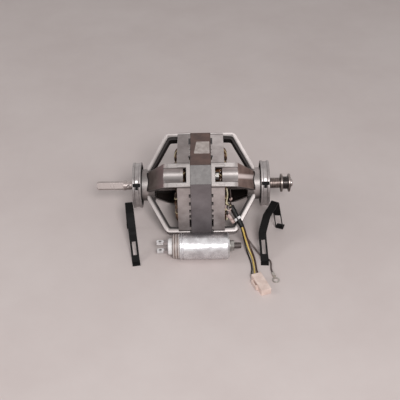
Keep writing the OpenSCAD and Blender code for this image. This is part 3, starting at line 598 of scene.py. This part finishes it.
top_marks = times(tree, notch_marks(tree, place["Y"], top_notches), upward)
not_upward = add_math(tree, "SUBTRACT", 1.0, upward)
front_marks = times(tree, notch_marks(tree, place["Z"], front_notches), not_upward)
from_stack = add_math(tree, "SUBTRACT", along_shaft, stack_high.x - motor_middle.x)
at_edge = add_ramp(tree, from_stack, notch_depth + mark_deeper * mm, notch_depth - mark_inside * mm)
base = paint(tree, base, (34, 29, 29), add_math(tree, "ADD", top_marks, front_marks), at_edge, on_flat)
feed(tree, shader.inputs["Base Color"], base)
add_bump(tree, shader, skin["Height"], depth=0.12 * mm, normal=edges["Normal"])
finish_nodes(cast_aluminium, "end_shield_fan", "end_shield_pulley")

# Through bolts and washers
# Four long steel screws with hexagon heads pull the two shields together over the stack.
# They are zinc plated, with the heads in the windows of the pulley side arms.

zinc_steel = plain_finish("zinc_steel", (160, 157, 153), (122, 117, 114), patch=90, fine=1800,
                          round_edge=0.4 * mm, Metallic=0.7, Roughness=0.42)
finish_nodes(zinc_steel, "through_bolts", "bolt_washers", "stud_nut", "stud_washer")

# Mounting rings
# Rolled steel bands with two lips, bonded to a rubber ring that sits on the hub's nose.
# A key notch in each band faces the front, where the dryer's bracket holds it from turning.

ring_place = 88 * mm
ring_r = 31.75 * mm
spot_angle = radians(43.5)
spot_r = 2.5 * mm, 1.4 * mm

band_steel, tree, shader = new_material("band_steel", Metallic=0.75, Roughness=0.42)
skin = add_skin(tree, (172, 166, 165), (130, 123, 122), patch=55, fine=1300, grain=0.5)
edges = add_group(tree, soft_edges, Radius=0.5 * mm)
base = paint(tree, skin["Colour"], (205, 203, 202), edges["Mask"], 0.5)
for side in (-1, 1):
    # One small spot on each band shines in the photograph; here it is a bright tone
    spot = Vector((side * ring_place, -ring_r * cos(spot_angle), ring_r * sin(spot_angle)))
    off_spot = add_vector(tree, "DISTANCE", coordinates(tree), motor_middle + spot)
    base = paint(tree, base, (245, 245, 245), add_ramp(tree, off_spot, *spot_r))
feed(tree, shader.inputs["Base Color"], base)
add_bump(tree, shader, skin["Height"], depth=0.08 * mm, normal=edges["Normal"])
finish_nodes(band_steel, "ring_band_fan", "ring_band_pulley")

rubber = plain_finish("ring_rubber", (13, 12, 12), (7, 6, 6), patch=120, fine=2200, relief=0.05 * mm,
                      Roughness=0.7, Specular_IOR_Level=0.2)
finish_nodes(rubber, "ring_rubber_fan", "ring_rubber_pulley")

# Bearings
# Sintered bronze bushes are pressed into the hubs, with an oiled felt ring behind each and a
# pressed steel cap over the felt.

bronze = plain_finish("sintered_bronze", (176, 138, 84), (128, 94, 54), patch=200, fine=3000, grain=0.8,
                      relief=0.05 * mm, Metallic=0.8, Roughness=0.5)
finish_nodes(bronze, "bearing_bush_fan", "bearing_bush_pulley", "thrust_washer_fan", "thrust_washer_pulley")

felt = plain_finish("oiled_felt", (186, 172, 140), (120, 104, 76), patch=150, fine=1800, grain=0.9,
                    relief=0.3 * mm, Roughness=0.95)
finish_nodes(felt, "felt_ring_fan", "felt_ring_pulley")
finish_nodes(zinc_steel, "bearing_cap_fan", "bearing_cap_pulley")

# Rotor
# A steel stack with aluminium end rings and blades cast onto it, pressed on the shaft.
# Its rim is turned to leave half a millimetre to the stack's bore.

rotor_steel, tree, shader = new_material("rotor_steel", Metallic=0.7, Roughness=0.42)
skin = add_skin(tree, (110, 106, 104), (76, 70, 68), patch=80, fine=1500)
sheets = straight_lines(tree, sheet_t)
base = add_mix(tree, times(tree, sheets, 0.25), skin["Colour"], (0.02, 0.02, 0.02, 1))
feed(tree, shader.inputs["Base Color"], base)
add_bump(tree, shader, sheets, depth=0.05 * mm)
finish_nodes(rotor_steel, "rotor_core")

# The cage is painted dark, as painted shade inside the shields
cage_aluminium_shaded = plain_finish("cage_aluminium_shaded", (74, 64, 60), (38, 32, 30), patch=90, fine=1300, grain=0.5,
                              relief=0.1 * mm, Metallic=0.4, Roughness=0.5)
finish_nodes(cage_aluminium_shaded, "rotor_cage_fan", "rotor_cage_pulley")

# Shaft, collar and spacer
# Ground steel, with a long flat on the fan end and a cross hole behind it, and turned smaller
# where the spacer and the pulley sit. Lathe lines run round it.

turned_steel, tree, shader = new_material("turned_steel", Metallic=0.7)
skin = add_skin(tree, (170, 159, 156), (150, 139, 136), patch=70, fine=1500)
lathe_lines = straight_lines(tree, pitch=0.35 * mm, blur=0.0)
edges = add_group(tree, soft_edges, Radius=0.5 * mm)
feed(tree, shader.inputs["Base Color"], paint(tree, skin["Colour"], (236, 226, 222), edges["Mask"]))
feed(tree, shader.inputs["Roughness"], add_math(tree, "ADD", times(tree, skin["Mask"], 0.16), 0.22))
add_bump(tree, shader, lathe_lines, depth=0.012 * mm, normal=edges["Normal"])
finish_nodes(turned_steel, "shaft", "shaft_collar")

bush_steel, tree, shader = new_material("bush_steel", Metallic=0.7, Roughness=0.36)
skin = add_skin(tree, (136, 122, 117), (72, 58, 54), patch=160, fine=1500, grain=0.5)
oily = add_ramp(tree, straight_lines(tree, pitch=2.6 * mm, blur=0.0), 0.45, 0.8)
feed(tree, shader.inputs["Base Color"], paint(tree, skin["Colour"], (30, 24, 22), oily, 0.6))
add_bump(tree, shader, straight_lines(tree, pitch=0.6 * mm, blur=0.0), depth=0.02 * mm)
finish_nodes(bush_steel, "spacer_bush")

# Pulley and circlip
# A small turned steel pulley with two flanges for the dryer's belt. Its groove is darker and its edges
# lighter, and a spring clip holds it on the shaft.

pulley_low, pulley_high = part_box("pulley")
pulley_centre = (pulley_low + pulley_high) / 2
flange_r = 9.5 * mm, 12 * mm

pulley_steel, tree, shader = new_material("pulley_steel", Metallic=0.85, Roughness=0.33)
skin = add_skin(tree, (142, 132, 128), (88, 78, 75), patch=120, fine=1500)
from_centre = add_vector(tree, "LENGTH", offset_from(tree, pulley_centre, (0, 1, 1)))
edges = add_group(tree, soft_edges, Radius=0.3 * mm)
base = add_mix(tree, add_ramp(tree, from_centre, *flange_r), srgb(48, 43, 42), skin["Colour"])
feed(tree, shader.inputs["Base Color"], paint(tree, base, (196, 188, 184), edges["Mask"]))
add_bump(tree, shader, skin["Height"], depth=0.04 * mm, normal=edges["Normal"])
finish_nodes(pulley_steel, "pulley")

spring_steel = plain_finish("spring_steel", (80, 78, 80), (48, 46, 48), patch=200, fine=1500,
                            relief=0.03 * mm, Metallic=0.8, Roughness=0.35)
finish_nodes(spring_steel, "circlip")

# Label on the stack
# A pale paper label is glued on top of the stack, cut aslant at one end and left bare.
# It is a fifth of a millimetre thick and a little scuffed.

# In mm from the motor's middle
label_corners = ((-8.9, -12.5), (12.3, -13.1), (12.3, 17.2), (-5.5, 17.2))
label_t = 0.2 * mm
label_round = 1.2 * mm

label_mesh = bpy.data.meshes.new("stack_label")
build = bmesh.new()
corners = [build.verts.new((motor_middle.x + x * mm, motor_middle.y + y * mm, stack_high.z))
           for x, y in label_corners]
raised = bmesh.ops.extrude_face_region(build, geom=[build.faces.new(corners)])
top_corners = [v for v in raised["geom"] if isinstance(v, bmesh.types.BMVert)]
bmesh.ops.translate(build, vec=(0, 0, label_t), verts=top_corners)
uprights = [e for e in build.edges if abs(e.verts[0].co.z - e.verts[1].co.z) > label_t / 2]
bmesh.ops.bevel(build, geom=uprights, offset=label_round, segments=4, affect="EDGES", profile=0.5)
bmesh.ops.recalc_face_normals(build, faces=build.faces)
build.to_mesh(label_mesh)
build.free()

label_paper = plain_finish("label_paper", (188, 177, 172), (154, 141, 136), patch=140, fine=900, grain=0.5,
                           relief=0.03 * mm, Roughness=0.6)
add_piece("stack_label", label_mesh, label_paper)

# Run capacitor
# A drawn aluminium can with painted shade on its upper back, a rolled groove and a crimped lid, a white
# insulating cap with two pairs of blade terminals on the left, and a mounting stud with its nut on the right.

up_and_back = (0, 0.34, 0.94)
stud_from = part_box("stud_nut")[0].x
stud_blur = 0.5 * mm

can_aluminium, tree, shader = new_material("can_aluminium", Metallic=0.6)
skin = add_skin(tree, (222, 220, 222), (186, 182, 184), patch=120, fine=1500)
# Painted shade lies on the can's upper back, under the motor
shaded_back = facing_mask(tree, up_and_back, 0.78, 0.98)
base = paint(tree, skin["Colour"], (98, 94, 96), shaded_back, 0.95)
along_can = split(tree, coordinates(tree))["X"]
on_stud = add_ramp(tree, along_can, stud_from - stud_blur, stud_from + stud_blur)
feed(tree, shader.inputs["Base Color"], paint(tree, base, (82, 74, 72), on_stud))
rough = add_math(tree, "ADD", times(tree, skin["Mask"], 0.12), 0.22)
feed(tree, shader.inputs["Roughness"], add_math(tree, "ADD", rough, times(tree, on_stud, 0.25)))
edge_normal = add_group(tree, soft_edges, Radius=0.6 * mm)["Normal"]
dents = add_bump(tree, shader, add_noise(tree, scale=75, detail=1), depth=1.6 * mm, normal=edge_normal)
add_bump(tree, shader, straight_lines(tree, pitch=0.9 * mm, blur=1.5), depth=0.01 * mm, normal=dents)
finish_nodes(can_aluminium, "capacitor_can")

lid_plastic, tree, shader = new_material("lid_plastic", Roughness=0.45)
skin = add_skin(tree, (128, 106, 98), (74, 56, 52), patch=160, fine=1800)
collar_bands = straight_lines(tree, pitch=3.4 * mm, blur=0.6)
feed(tree, shader.inputs["Base Color"], paint(tree, skin["Colour"], (226, 218, 214), collar_bands, 0.6))
add_bump(tree, shader, skin["Height"], depth=0.05 * mm)
finish_nodes(lid_plastic, "capacitor_lid")

white_plastic = plain_finish("white_plastic", (240, 237, 237), (216, 211, 211), patch=110, fine=1800,
                             round_edge=0.4 * mm, Roughness=0.42)
finish_nodes(white_plastic, "capacitor_cap", "sleeve_clip")

blade_low, blade_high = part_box("capacitor_terminals")
eye_in = 4.6 * mm
eye_r, past_eye_r = (2.2 * mm, 1.5 * mm), (4.6 * mm, 5.6 * mm)
blade_eye = Vector((blade_low.x + eye_in, (blade_low.y + blade_high.y) / 2, 0))

terminal_tin, tree, shader = new_material("terminal_tin", Metallic=0.2, Roughness=0.4)
skin = add_skin(tree, (246, 243, 243), (222, 217, 217), patch=160, fine=1800)
# Each blade gets painted shade round its hole, and a greyer band further out
from_eye = add_vector(tree, "LENGTH", offset_from(tree, blade_eye, (1, 1, 0)))
base = paint(tree, skin["Colour"], (112, 104, 104), add_ramp(tree, from_eye, *eye_r))
base = paint(tree, base, (150, 140, 139), add_ramp(tree, from_eye, *past_eye_r))
feed(tree, shader.inputs["Base Color"], base)
edge_normal = add_group(tree, soft_edges, Radius=0.3 * mm)["Normal"]
add_bump(tree, shader, skin["Height"], depth=0.04 * mm, normal=edge_normal)
finish_nodes(terminal_tin, "capacitor_terminals")

# Hold-down straps
# Bent strips of black painted steel that clamp the mounting rings into the dryer's bracket, a
# slot at each end for the screw. The pulley side one is bent sideways.

strap_black, tree, shader = new_material("strap_black", Roughness=0.6, Specular_IOR_Level=0.12)
skin = add_skin(tree, (15, 14, 14), (8, 7, 7), patch=90, fine=1600, grain=0.6)
edges = add_group(tree, soft_edges, Radius=0.3 * mm)
feed(tree, shader.inputs["Base Color"], paint(tree, skin["Colour"], (78, 72, 70), edges["Mask"], 0.2))
add_bump(tree, shader, skin["Height"], depth=0.1 * mm, normal=edges["Normal"])
finish_nodes(strap_black, "strap_fan_side", "strap_pulley_side")

# Leads
# Three insulated leads and an earth lead come out of a black sleeve at the pulley side winding,
# drop to the floor and run forward; black, yellow and brown end in the connector.

leads_from = Vector((motor_middle.x, motor_middle.y, 0))
mouth = motor_middle.z / mm - 18
lead_d = 2.3 * mm
black_route = [
    (49, -64.3, mouth - 0.5), (52, -68.2, mouth - 3.9), (54, -70.4, 33), (55.6, -71.4, 25), (57.4, -72, 17),
    (59.2, -73.6, 9.6), (60.6, -78, 4.6), (62.2, -84.4, 2), (63.9, -92, 1.2), (65.2, -100, 1.2),
    (65.9, -108, 1.2), (65.9, -116, 1.6), (65, -124, 3), (65.5, -131.4, 3.8), (67.6, -137, 3.8)]
yellow_route = [
    (49.9, -65.5, mouth + 1.7), (53.1, -69.8, mouth - 1.8), (55.8, -72.7, 33.6), (57.8, -73.7, 25),
    (59.8, -74.3, 17.2), (61.9, -75.8, 9.8), (64.1, -79.6, 4.7), (66.1, -84.8, 2.1), (67.6, -92, 1.2),
    (68.4, -100, 1.2), (68.9, -108, 1.2), (69, -116, 1.6), (68.9, -123.6, 3), (69.6, -130, 3.8),
    (71.6, -135.6, 3.8)]
brown_route = [
    (52, -63.9, mouth + 1.7), (55.2, -68, mouth - 1.8), (58, -70.8, 33.6), (60.2, -72, 25),
    (62.3, -72.6, 17.4), (64.6, -74.2, 9.8), (67, -78.4, 4.8), (69, -84.4, 2.2), (70.4, -92, 1.2),
    (71.2, -100, 1.2), (71.7, -108, 1.2), (72, -116, 1.6), (72.5, -122.8, 3), (73.5, -128.6, 3.8),
    (75.5, -134.2, 3.8)]
earth_route = [
    (51.1, -62.7, mouth - 0.5), (53.8, -66.2, mouth - 3.9), (56.4, -68, 33), (58.8, -69, 25),
    (61.8, -69.4, 17.6), (66, -71.2, 11.6), (71.4, -76, 6.4), (76.4, -83, 2.8), (80.4, -88.6, 1.3),
    (85.6, -92.2, 1.2), (90.4, -96.4, 1.2), (92, -102.6, 1.2), (91.6, -110, 1.2), (91.6, -116.6, 1.4),
    (92.5, -122.6, 1.8)]


def lay_lead(name, route, light, dark, slot):
    """A lead through its route's points, in a cover of its own. The slot gives the cover its name."""
    cover = plain_finish(slot, light, dark, patch=90, fine=1400, relief=0.03 * mm, Roughness=0.38)
    points = [leads_from + Vector(point) * mm for point in route]
    line = bpy.data.curves.new(name, "CURVE")
    line.dimensions = "3D"
    line.bevel_depth = lead_d / 2
    line.bevel_resolution = 3
    line.resolution_u = 8
    line.use_fill_caps = True
    spline = line.splines.new("BEZIER")
    spline.bezier_points.add(len(points) - 1)
    for knot, point in zip(spline.bezier_points, points):
        knot.co = point
        knot.handle_left_type = knot.handle_right_type = "AUTO"
    lead = add_piece(name, line, cover)
    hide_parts(name.replace("cover", "lead"))


lay_lead("cover_black", black_route, (36, 32, 31), (20, 17, 17), "black_cover")
lay_lead("cover_yellow", yellow_route, (226, 202, 124), (204, 170, 84), "yellow_cover")
lay_lead("cover_brown", brown_route, (74, 46, 36), (46, 28, 22), "brown_cover")
lay_lead("cover_earth", earth_route, (104, 90, 86), (66, 54, 52), "grey_cover")

# Lead sleeve
# Black varnished sleeving over the joints, from the winding out past the arm, with a white tie
# round it near its mouth. It is soft, so it bends a little and swells over the joints inside.

sleeve_line = [(40.2, -51.5, -0.8), (42.4, -54.2, -4), (44.6, -57, -7.2), (46.6, -59.5, -10.2),
               (48.6, -62, -13.2), (50.4, -64.2, -16.2), (51.9, -66.1, -18.6), (53.5, -68.1, -20.9),
               (54.7, -69.7, -23)]
sleeve_d = 6.9
swellings = ((0.45, 11), (0.25, 37))


def round_line(points, steps):
    """A smooth line through points given in mm from the motor's middle."""
    points = [motor_middle + Vector(point) * mm for point in points]
    ends = [points[0] * 2 - points[1]] + points + [points[-1] * 2 - points[-2]]
    line = []
    for before, here, there, after in zip(ends, ends[1:], ends[2:], ends[3:]):
        pull = there - before
        curve = 2 * before - 5 * here + 4 * there - after
        swing = 3 * here - before - 3 * there + after
        for step in range(steps):
            t = step / steps
            line.append(0.5 * (2 * here + pull * t + curve * t ** 2 + swing * t ** 3))
    return line + [points[-1]]


def sleeve_width(share):
    """The sleeve's width at a share of its length, in two sets of swellings: height in mm and rate."""
    return (sleeve_d + sum(height * sin(rate * share) for height, rate in swellings)) * mm


sleeve_black, tree, shader = new_material("sleeve_black", Roughness=0.34, Specular_IOR_Level=0.22)
skin = add_skin(tree, (16, 14, 14), (6, 5, 5), patch=260, fine=1600, grain=0.7)
feed(tree, shader.inputs["Base Color"], skin["Colour"])
add_bump(tree, shader, skin["Mask"], depth=0.25 * mm)
sleeving = add_tubes("sleeving", [round_line(sleeve_line, steps=4)], sleeve_width, sleeve_black,
                     sides=20)
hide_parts("lead_sleeve")

# Winding tails
# The ends of the windings come out of the bundle beside the sleeve: a cream, a brown, a pink and a
# dark tail, a second and thinner sleeve, and the knots of the lacing that hold them.

tail_d = 1.9 * mm
small_sleeve_d = 5 * mm
knot_d = 1.7 * mm
knot_r = 1.5 * mm
knot_points = 12
knot_skew = 0.6
first_lean, next_lean = radians(35), radians(50)
tails = {
    "cream": ((212, 203, 176), (150, 138, 104), [
        (34.2, -51, 28), (34.9, -53.6, 24), (35.2, -55, 20), (34.6, -56, 15), (33.9, -56.5, 10.3),
        (35.2, -56.6, 6), (38.2, -55.5, 3), (40.6, -53, 0.6)]),
    "brown": ((58, 38, 34), (32, 20, 18), [
        (38.6, -48, 26), (39.1, -51.4, 20.5), (39.6, -53.6, 15), (39.2, -55, 9.5), (39.4, -54.8, 4.6),
        (41, -53, 0.4)]),
    "pink": ((214, 194, 188), (148, 120, 114), [
        (33, -55, 3.6), (33, -56.8, -0.6), (35.6, -57.8, -3.4), (38.4, -57.6, -3.2), (40.4, -55, -1.4)]),
    "dark": ((40, 28, 26), (22, 15, 14), [
        (35.8, -54.6, 5.4), (34.4, -56.8, 0.4), (34.2, -57.8, -5.4), (35.4, -58.4, -10),
        (37.8, -58.8, -13.4)]),
}
small_sleeve_line = [(35.8, -56.6, -10.4), (38.4, -58.6, -14), (41.2, -60.6, -18), (43.6, -62.4, -21.4)]
knots = {
    "pink": ((39.6, -54.8, 13.2), (38.2, -58.2, -4.6), (35.2, -59, -12.4)),
    "cream": ((33, -57.2, -1.6), (34.4, -58.8, -16.4), (34, -56.8, 8)),
    "dark": ((36.4, -56, 4.3), (34.5, -58.2, -6.4), (40.6, -53.8, 1)),
}

tail_covers = {}
for colour, (light, dark, line) in tails.items():
    tail_covers[colour] = plain_finish("tail_" + colour, light, dark, patch=240, fine=1500,
                                       relief=0.05 * mm, Roughness=0.5)
    add_tubes("tail_" + colour, [round_line(line, steps=4)], tail_d, tail_covers[colour],
              sides=10)

add_tubes("small_sleeve", [round_line(small_sleeve_line, steps=5)], small_sleeve_d, tail_covers["pink"],
          sides=16)

for colour, spots in knots.items():
    rings = []
    for number, spot in enumerate(spots):
        knot_lean = first_lean + next_lean * number
        ring = []
        for i in range(knot_points):
            angle = 2 * pi * i / knot_points
            skew = sin(angle) * knot_skew
            reach = Vector((cos(angle) * cos(knot_lean), skew, cos(angle) * sin(knot_lean) + skew))
            ring.append(motor_middle + Vector(spot) * mm + reach * knot_r)
        rings.append(ring)
    add_tubes("tail_knots_" + colour, rings, knot_d, tail_covers[colour], sides=8,
              closed=True)

# Connector
# A cream nylon housing with three cavities and a latch, and tinned contacts crimped on the
# leads inside it.

cream_nylon = plain_finish("cream_nylon", (236, 215, 205), (211, 187, 177), patch=90, fine=1500,
                           round_edge=0.6 * mm, Roughness=0.4)
finish_nodes(cream_nylon, "connector_housing")

tinned_brass = plain_finish("tinned_brass", (190, 184, 178), (146, 138, 132), patch=150, fine=2000,
                            relief=0.03 * mm, round_edge=0.2 * mm, Metallic=0.85, Roughness=0.35)
finish_nodes(tinned_brass, "connector_contacts", "ring_terminal")

# Floor and light
# A plain pale floor, one wide soft lamp high in front, a smaller one from the left, and a
# pale surround.

half_floor = 3.0
floor_mesh = bpy.data.meshes.new("floor")
floor_corners = [(x * half_floor, y * half_floor, 0) for x, y in ((-1, -1), (1, -1), (1, 1), (-1, 1))]
floor_mesh.from_pydata(floor_corners, [], [(0, 1, 2, 3)])
floor = bpy.data.objects.new("floor", floor_mesh)
bpy.context.scene.collection.objects.link(floor)
floor_paint, tree, shader = new_material("floor_paint", Roughness=0.8)
skin = add_skin(tree, (212, 200, 197), (206, 193, 190), patch=6, fine=60, grain=0.2)
feed(tree, shader.inputs["Base Color"], skin["Colour"])
floor_mesh.materials.append(floor_paint)

lamps_aim = Vector((0, 0, 0.05))


def soft_lamp(name, place, size, power):
    lamp_data = bpy.data.lights.new(name, "AREA")
    lamp_data.shape = "DISK"
    lamp_data.size = size
    lamp_data.energy = power
    lamp = bpy.data.objects.new(name, lamp_data)
    lamp.location = place
    lamp.rotation_euler = (lamps_aim - Vector(place)).to_track_quat("-Z", "Y").to_euler()
    bpy.context.scene.collection.objects.link(lamp)


soft_lamp("high_front_lamp", place=(0.3, -1.6, 1.35), size=0.6, power=27)
soft_lamp("left_lamp", place=(-1.6, -0.2, 1.2), size=0.7, power=5)

surround_light = (0.34, 0.34, 0.34, 1)
surround_seen = (0.92, 0.9, 0.89, 1)
world = bpy.data.worlds.new("surround")
world.use_nodes = True
bpy.context.scene.world = world
tree = world.node_tree
surround = tree.nodes["Background"]
rays = add_node(tree, "ShaderNodeLightPath").outputs
seen = add_math(tree, "MAXIMUM", rays["Is Camera Ray"], rays["Is Glossy Ray"])
seen = add_math(tree, "MAXIMUM", seen, rays["Is Transmission Ray"])
feed(tree, surround.inputs["Color"], add_mix(tree, seen, surround_light, surround_seen))
surround.inputs["Strength"].default_value = 1
